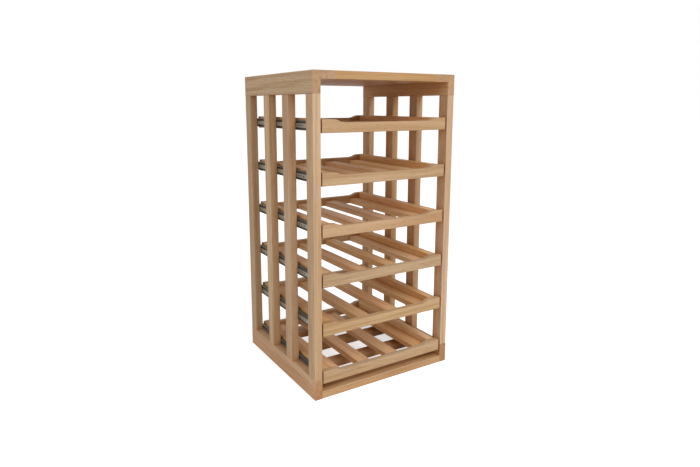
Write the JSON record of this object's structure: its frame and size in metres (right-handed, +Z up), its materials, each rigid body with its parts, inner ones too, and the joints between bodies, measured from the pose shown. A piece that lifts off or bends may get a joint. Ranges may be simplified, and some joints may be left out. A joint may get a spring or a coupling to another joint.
{
  "type": "wine rack",
  "caption": "Free-standing slatted oak wine rack with a closed top and stacked slatted bottle trays that pull out to the front on full-extension slides.",
  "frame": {"origin": "on the floor, under the middle of the rack", "axes": "+Z up, +X to the right as seen from the front, -Y towards the front, the way the trays pull out"},
  "size_m": [0.504, 0.475, 0.95],
  "materials": {
    "oak_frame": "solid oak, planed and oiled, straight grain along each board",
    "oak_tray": "solid oak, planed and oiled, straight grain along each board",
    "zinc_steel": "rolled sheet steel, bright zinc plated",
    "screw_steel": "zinc-plated pan-head screws",
    "beech_dowel": "plain turned beech, glued in"
  },
  "bodies": {
    "rack": {"left_top_rail": "oak_frame", "left_bottom_rail": "oak_frame", "left_front_stile": "oak_frame", "left_rear_stile": "oak_frame", "left_slats": "oak_frame", "right_top_rail": "oak_frame", "right_bottom_rail": "oak_frame", "right_front_stile": "oak_frame", "right_rear_stile": "oak_frame", "right_slats": "oak_frame", "top_board": "oak_frame", "top_battens": "oak_frame", "base_front_rail": "oak_frame", "base_rear_rail": "oak_frame", "base_slats": "oak_frame", "slide_outer_members": "zinc_steel", "slide_screws": "screw_steel", "frame_dowels": "beech_dowel"},
    "tray_1": {"tray_1_front": "oak_tray", "tray_1_back": "oak_tray", "tray_1_sides": "oak_tray", "tray_1_slats": "oak_tray", "tray_1_slide_inner": "zinc_steel", "tray_1_screws": "screw_steel"},
    "runner_1": {"slide_middle_1": "zinc_steel"},
    "tray_2": {"tray_2_front": "oak_tray", "tray_2_back": "oak_tray", "tray_2_sides": "oak_tray", "tray_2_slats": "oak_tray", "tray_2_slide_inner": "zinc_steel", "tray_2_screws": "screw_steel"},
    "runner_2": {"slide_middle_2": "zinc_steel"},
    "tray_3": {"tray_3_front": "oak_tray", "tray_3_back": "oak_tray", "tray_3_sides": "oak_tray", "tray_3_slats": "oak_tray", "tray_3_slide_inner": "zinc_steel", "tray_3_screws": "screw_steel"},
    "runner_3": {"slide_middle_3": "zinc_steel"},
    "tray_4": {"tray_4_front": "oak_tray", "tray_4_back": "oak_tray", "tray_4_sides": "oak_tray", "tray_4_slats": "oak_tray", "tray_4_slide_inner": "zinc_steel", "tray_4_screws": "screw_steel"},
    "runner_4": {"slide_middle_4": "zinc_steel"},
    "tray_5": {"tray_5_front": "oak_tray", "tray_5_back": "oak_tray", "tray_5_sides": "oak_tray", "tray_5_slats": "oak_tray", "tray_5_slide_inner": "zinc_steel", "tray_5_screws": "screw_steel"},
    "runner_5": {"slide_middle_5": "zinc_steel"},
    "tray_6": {"tray_6_front": "oak_tray", "tray_6_back": "oak_tray", "tray_6_sides": "oak_tray", "tray_6_slats": "oak_tray", "tray_6_slide_inner": "zinc_steel", "tray_6_screws": "screw_steel"},
    "runner_6": {"slide_middle_6": "zinc_steel"}
  },
  "joints": [
    {"name": "tray_1_slide", "type": "slide", "parent": "rack", "child": "tray_1", "axis": [0, -1, 0], "range_m": [0, 0.4]},
    {"name": "runner_1_slide", "type": "slide", "parent": "rack", "child": "runner_1", "axis": [0, -1, 0], "range_m": [0, 0.2]},
    {"name": "tray_2_slide", "type": "slide", "parent": "rack", "child": "tray_2", "axis": [0, -1, 0], "range_m": [0, 0.4]},
    {"name": "runner_2_slide", "type": "slide", "parent": "rack", "child": "runner_2", "axis": [0, -1, 0], "range_m": [0, 0.2]},
    {"name": "tray_3_slide", "type": "slide", "parent": "rack", "child": "tray_3", "axis": [0, -1, 0], "range_m": [0, 0.4]},
    {"name": "runner_3_slide", "type": "slide", "parent": "rack", "child": "runner_3", "axis": [0, -1, 0], "range_m": [0, 0.2]},
    {"name": "tray_4_slide", "type": "slide", "parent": "rack", "child": "tray_4", "axis": [0, -1, 0], "range_m": [0, 0.4]},
    {"name": "runner_4_slide", "type": "slide", "parent": "rack", "child": "runner_4", "axis": [0, -1, 0], "range_m": [0, 0.2]},
    {"name": "tray_5_slide", "type": "slide", "parent": "rack", "child": "tray_5", "axis": [0, -1, 0], "range_m": [0, 0.4]},
    {"name": "runner_5_slide", "type": "slide", "parent": "rack", "child": "runner_5", "axis": [0, -1, 0], "range_m": [0, 0.2]},
    {"name": "tray_6_slide", "type": "slide", "parent": "rack", "child": "tray_6", "axis": [0, -1, 0], "range_m": [0, 0.4]},
    {"name": "runner_6_slide", "type": "slide", "parent": "rack", "child": "runner_6", "axis": [0, -1, 0], "range_m": [0, 0.2]}
  ],
  "couplings": [
    {"joint": "runner_1_slide", "follows": "tray_1_slide", "ratio": 0.5},
    {"joint": "runner_2_slide", "follows": "tray_2_slide", "ratio": 0.5},
    {"joint": "runner_3_slide", "follows": "tray_3_slide", "ratio": 0.5},
    {"joint": "runner_4_slide", "follows": "tray_4_slide", "ratio": 0.5},
    {"joint": "runner_5_slide", "follows": "tray_5_slide", "ratio": 0.5},
    {"joint": "runner_6_slide", "follows": "tray_6_slide", "ratio": 0.5}
  ]
}
